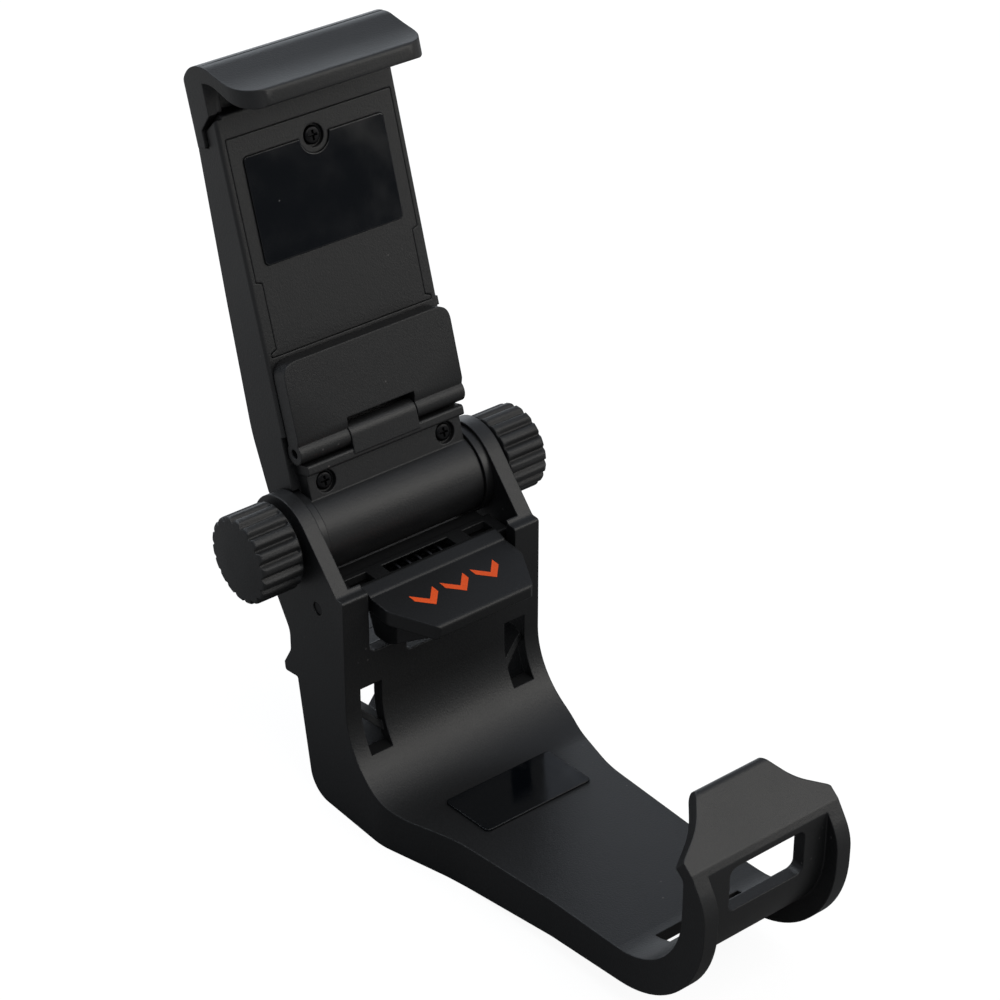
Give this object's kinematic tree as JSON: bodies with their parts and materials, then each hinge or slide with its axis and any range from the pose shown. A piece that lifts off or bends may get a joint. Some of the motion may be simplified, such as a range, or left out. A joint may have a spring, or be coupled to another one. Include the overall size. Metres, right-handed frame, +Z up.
{
  "type": "controller phone clip",
  "caption": "Phone holder that clips onto a game controller, with a snap-hook cradle, a tilting head locked by knobs, a sprung sliding jaw and a fold-out flap.",
  "frame": {"origin": "middle of the upper face of the arm pad, where the game controller rests in the cradle", "axes": "+X to the right along the tilt axis, -Y towards the hook, +Z up, and the head leans back from +Z"},
  "size_m": [0.0626, 0.1305, 0.1309],
  "materials": {
    "bracket_plastic": "fine moulded grain",
    "head_plastic": "fine moulded grain",
    "lever_plastic": "fine moulded grain",
    "knob_plastic": "satin",
    "washer_plastic": "satin",
    "gel_pad": "glossy gel",
    "steel": "bright",
    "black_steel": "black oxide"
  },
  "bodies": {
    "base": {"base_bracket": "bracket_plastic", "arm_pad": "gel_pad", "latch_pin": "steel", "latch_spring": "steel", "left_washer": "washer_plastic", "right_washer": "washer_plastic"},
    "lever": {"latch_lever": "lever_plastic"},
    "head": {"barrel_bracket": "head_plastic", "rear_housing": "head_plastic", "front_cover": "head_plastic", "grip_pad": "gel_pad", "cover_screw": "black_steel", "flange_screws": "black_steel", "flap_pin": "steel", "jaw_spring_left": "steel", "jaw_spring_right": "steel"},
    "jaw": {"top_jaw": "head_plastic"},
    "flap": {"clamp_flap": "head_plastic"},
    "knob_left": {"left_knob": "knob_plastic", "pivot_bolt": "steel"},
    "knob_right": {"right_knob": "knob_plastic", "knob_nut": "steel"}
  },
  "joints": [
    {"name": "latch_hinge", "type": "hinge", "parent": "base", "child": "lever", "pos_m": [0, 0.02835, 0.03224], "axis": [-1, 0, 0], "range_deg": [0, 25], "stiffness_Nm_per_rad": 0.05, "springref_deg": -28.65, "deforming": ["latch_spring"]},
    {"name": "head_tilt", "type": "hinge", "parent": "base", "child": "head", "pos_m": [0, 0.03805, 0.04084], "axis": [1, 0, 0], "range_deg": [-45, 45]},
    {"name": "left_knob_spin", "type": "hinge", "parent": "base", "child": "knob_left", "pos_m": [-0.026, 0.03805, 0.04084], "axis": [-1, 0, 0], "continuous": true},
    {"name": "right_knob_spin", "type": "hinge", "parent": "base", "child": "knob_right", "pos_m": [0.026, 0.03805, 0.04084], "axis": [1, 0, 0], "continuous": true},
    {"name": "jaw_slide", "type": "slide", "parent": "head", "child": "jaw", "axis": [0, 0.289, 0.9573], "range_m": [0, 0.028], "stiffness_N_per_m": 200, "springref_m": -0.03, "deforming": ["jaw_spring_left", "jaw_spring_right"]},
    {"name": "flap_hinge", "type": "hinge", "parent": "head", "child": "flap", "pos_m": [0, 0.03896, 0.05665], "axis": [1, 0, 0], "range_deg": [0, 90]}
  ]
}
